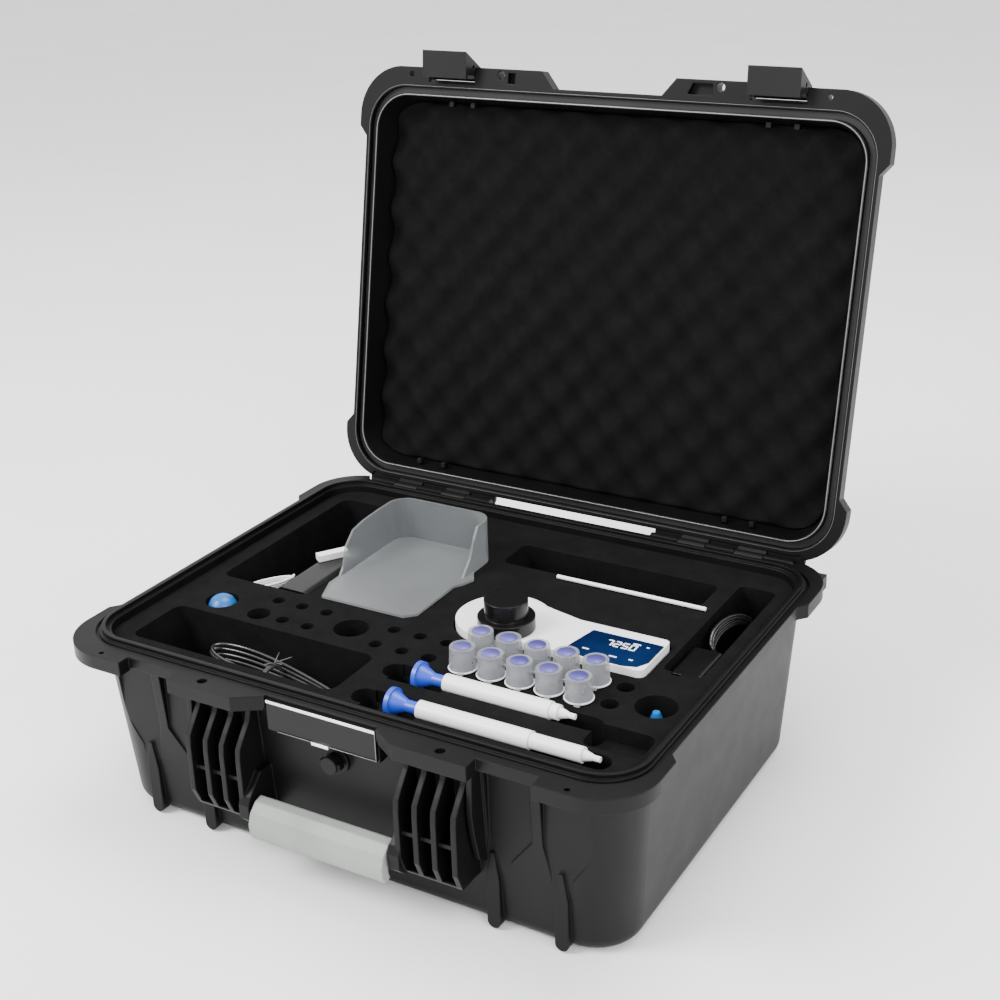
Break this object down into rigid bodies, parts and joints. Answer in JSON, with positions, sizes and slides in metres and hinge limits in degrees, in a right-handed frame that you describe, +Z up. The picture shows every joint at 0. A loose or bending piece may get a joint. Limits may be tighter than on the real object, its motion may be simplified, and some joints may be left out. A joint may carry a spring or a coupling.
{
  "type": "water test kit",
  "caption": "Open hinged hard case with foam layers holding a light meter, capped sample cells, syringes, a scoop and cables.",
  "frame": {"origin": "middle of the base's flat underside", "axes": "+Z up, +Y to the hinge side, +X to the right seen from the front"},
  "size_m": [0.472, 0.4925, 0.5141],
  "materials": {
    "case_black": "matte",
    "foam_black": "matte",
    "gasket_grey": "satin",
    "pin_steel": "brushed",
    "handle_grey": "matte",
    "plate_metal": "satin",
    "vial_glass": "polished",
    "frosted_plastic": "satin",
    "white_plastic": "satin",
    "panel_blue": "satin",
    "cap_black": "matte",
    "battery_metal": "satin",
    "plunger_blue": "satin",
    "seal_black": "matte",
    "cap_blue": "satin",
    "cord_black": "satin",
    "cord_white": "satin",
    "adapter_black": "matte"
  },
  "bodies": {
    "base": {"base_shell": "case_black", "foam_insert": "foam_black", "foam_base_layer": "foam_black", "nameplate": "plate_metal", "hinge_pins": "pin_steel", "handle_pins": "pin_steel", "black_cord_hank": "cord_black", "cord_tie": "cord_black", "white_cord_hank": "cord_white", "spare_cord_hank": "cord_black", "charger": "adapter_black", "charger_plug": "white_plastic", "cable_adapter": "adapter_black"},
    "lid": {"lid_shell": "case_black", "lid_foam": "foam_black", "lid_gasket": "gasket_grey", "foam_clips": "case_black", "latch_pins": "pin_steel"},
    "latch_left_body": {"latch_left": "case_black"},
    "latch_right_body": {"latch_right": "case_black"},
    "handle": {"handle_grip": "handle_grey"},
    "valve": {"valve_knob": "case_black"},
    "meter": {"meter_case_top": "white_plastic", "meter_case_bottom": "white_plastic", "meter_keypad": "panel_blue", "meter_well": "white_plastic", "meter_batteries": "battery_metal"},
    "light_cap": {"meter_cap": "cap_black"},
    "scoop": {"sample_scoop": "frosted_plastic"},
    "rod": {"stirring_rod": "white_plastic"},
    "bottle": {"reagent_bottle": "white_plastic", "reagent_cap": "cap_blue"},
    "dropper": {"dropper_bottle": "white_plastic", "dropper_cap": "cap_blue"},
    "vial_1_body": {"vial_1": "vial_glass", "vial_cap_1": "frosted_plastic"},
    "vial_2_body": {"vial_2": "vial_glass", "vial_cap_2": "frosted_plastic"},
    "vial_3_body": {"vial_3": "vial_glass", "vial_cap_3": "frosted_plastic"},
    "vial_4_body": {"vial_4": "vial_glass", "vial_cap_4": "frosted_plastic"},
    "vial_5_body": {"vial_5": "vial_glass", "vial_cap_5": "frosted_plastic"},
    "vial_6_body": {"vial_6": "vial_glass", "vial_cap_6": "frosted_plastic"},
    "vial_7_body": {"vial_7": "vial_glass", "vial_cap_7": "frosted_plastic"},
    "vial_8_body": {"vial_8": "vial_glass", "vial_cap_8": "frosted_plastic"},
    "vial_9_body": {"vial_9": "vial_glass", "vial_cap_9": "frosted_plastic"},
    "vial_10_body": {"vial_10": "vial_glass", "vial_cap_10": "frosted_plastic"},
    "syringe_1": {"syringe_barrel_1": "white_plastic"},
    "plunger_1": {"syringe_plunger_1": "plunger_blue", "syringe_seal_1": "seal_black"},
    "syringe_2": {"syringe_barrel_2": "white_plastic"},
    "plunger_2": {"syringe_plunger_2": "plunger_blue", "syringe_seal_2": "seal_black"}
  },
  "joints": [
    {"name": "lid_hinge", "type": "hinge", "parent": "base", "child": "lid", "pos_m": [0, 0.181, 0.139], "axis": [1, 0, 0], "range_deg": [0, 101], "deforming": ["lid_foam"]},
    {"name": "latch_left_pivot", "type": "hinge", "parent": "lid", "child": "latch_left_body", "pos_m": [0, 0.26097, 0.49274], "axis": [1, 0, 0], "range_deg": [-75, 0]},
    {"name": "latch_right_pivot", "type": "hinge", "parent": "lid", "child": "latch_right_body", "pos_m": [0, 0.26097, 0.49274], "axis": [1, 0, 0], "range_deg": [-75, 0]},
    {"name": "handle_swing", "type": "hinge", "parent": "base", "child": "handle", "pos_m": [0, -0.188, 0.052], "axis": [-1, 0, 0], "range_deg": [0, 95]},
    {"name": "valve_turn", "type": "hinge", "parent": "base", "child": "valve", "pos_m": [0.003, -0.17, 0.101], "axis": [0, -1, 0], "range_deg": [0, 270]},
    {"name": "meter_lift", "type": "slide", "parent": "base", "child": "meter", "axis": [0, 0, -1], "range_m": [-0.06, 0]},
    {"name": "light_cap_lift", "type": "slide", "parent": "meter", "child": "light_cap", "axis": [0, 0, -1], "range_m": [-0.03, 0]},
    {"name": "scoop_lift", "type": "slide", "parent": "base", "child": "scoop", "axis": [0, 0, -1], "range_m": [-0.05, 0]},
    {"name": "rod_lift", "type": "slide", "parent": "base", "child": "rod", "axis": [0, 0, -1], "range_m": [-0.05, 0]},
    {"name": "bottle_lift", "type": "slide", "parent": "base", "child": "bottle", "axis": [0, 0, -1], "range_m": [-0.06, 0]},
    {"name": "dropper_lift", "type": "slide", "parent": "base", "child": "dropper", "axis": [0, 0, -1], "range_m": [-0.06, 0]},
    {"name": "vial_1_lift", "type": "slide", "parent": "base", "child": "vial_1_body", "axis": [0, 0, -1], "range_m": [-0.055, 0]},
    {"name": "vial_2_lift", "type": "slide", "parent": "base", "child": "vial_2_body", "axis": [0, 0, -1], "range_m": [-0.055, 0]},
    {"name": "vial_3_lift", "type": "slide", "parent": "base", "child": "vial_3_body", "axis": [0, 0, -1], "range_m": [-0.055, 0]},
    {"name": "vial_4_lift", "type": "slide", "parent": "base", "child": "vial_4_body", "axis": [0, 0, -1], "range_m": [-0.055, 0]},
    {"name": "vial_5_lift", "type": "slide", "parent": "base", "child": "vial_5_body", "axis": [0, 0, -1], "range_m": [-0.055, 0]},
    {"name": "vial_6_lift", "type": "slide", "parent": "base", "child": "vial_6_body", "axis": [0, 0, -1], "range_m": [-0.055, 0]},
    {"name": "vial_7_lift", "type": "slide", "parent": "base", "child": "vial_7_body", "axis": [0, 0, -1], "range_m": [-0.055, 0]},
    {"name": "vial_8_lift", "type": "slide", "parent": "base", "child": "vial_8_body", "axis": [0, 0, -1], "range_m": [-0.055, 0]},
    {"name": "vial_9_lift", "type": "slide", "parent": "base", "child": "vial_9_body", "axis": [0, 0, -1], "range_m": [-0.055, 0]},
    {"name": "vial_10_lift", "type": "slide", "parent": "base", "child": "vial_10_body", "axis": [0, 0, -1], "range_m": [-0.055, 0]},
    {"name": "syringe_1_lift", "type": "slide", "parent": "base", "child": "syringe_1", "axis": [0, 0, -1], "range_m": [-0.05, 0]},
    {"name": "plunger_1_draw", "type": "slide", "parent": "syringe_1", "child": "plunger_1", "axis": [-1, 0, 0], "range_m": [0, 0.018]},
    {"name": "syringe_2_lift", "type": "slide", "parent": "base", "child": "syringe_2", "axis": [0, 0, -1], "range_m": [-0.05, 0]},
    {"name": "plunger_2_draw", "type": "slide", "parent": "syringe_2", "child": "plunger_2", "axis": [-1, 0, 0], "range_m": [0, 0.018]}
  ]
}
